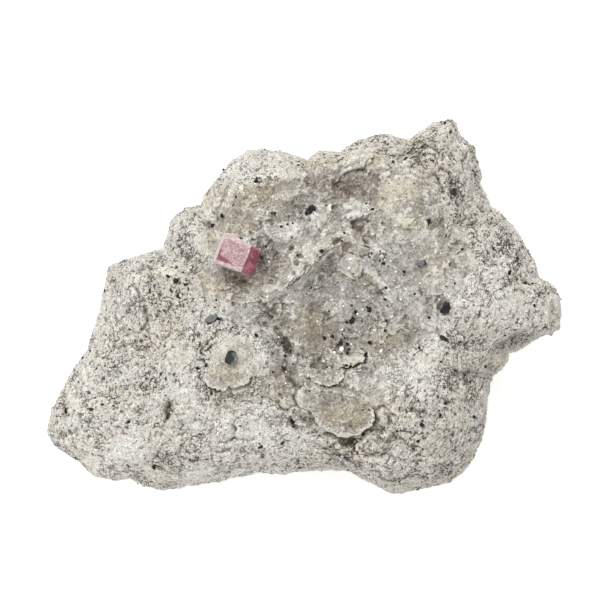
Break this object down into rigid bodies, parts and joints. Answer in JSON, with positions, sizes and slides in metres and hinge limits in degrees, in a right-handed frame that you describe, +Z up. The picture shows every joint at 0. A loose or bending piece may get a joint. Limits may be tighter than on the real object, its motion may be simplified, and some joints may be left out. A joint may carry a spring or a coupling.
{
  "type": "red beryl in matrix",
  "caption": "Lump of pale rhyolite matrix with a stubby six-sided red beryl prism, drusy crust plates and small dark crystals, lying on its flat back.",
  "frame": {"origin": "middle of the lump's outline, on the surface that it rests on", "axes": "+X along the lump towards its pointed right lobe, +Y towards its upper edge as the crystal side is seen, +Z up, out of the crystal side"},
  "size_m": [0.06, 0.0435, 0.0186],
  "materials": {
    "rhyolite": "dull, granular and porous white to light grey rock",
    "red_beryl": "translucent pink to raspberry crystal with a glassy lustre",
    "grey_druse": "sugary translucent grey-tan crust with sparkling points",
    "tan_crust": "waxy tan crust",
    "cream_crust": "smooth cream crust with a fine broken edge",
    "dark_mineral": "black, shiny crystal faces with a slight metallic gleam"
  },
  "bodies": {
    "root": {"rhyolite_matrix": "rhyolite", "red_beryl_crystal": "red_beryl", "druse_basin_lining": "grey_druse", "crust_shelf_lower": "tan_crust", "crust_collar_beryl": "tan_crust", "crust_plate_left": "cream_crust", "crust_ledge_upper": "cream_crust", "crust_patch_cream": "cream_crust", "dark_crystal_plate": "dark_mineral", "dark_crystal_slab": "dark_mineral", "dark_crystal_double": "dark_mineral", "dark_crystal_oval": "dark_mineral", "dark_crystal_pocket": "dark_mineral", "dark_crystal_slit": "dark_mineral", "dark_crystal_knob": "dark_mineral", "dark_crystal_centre": "dark_mineral"}
  },
  "joints": []
}
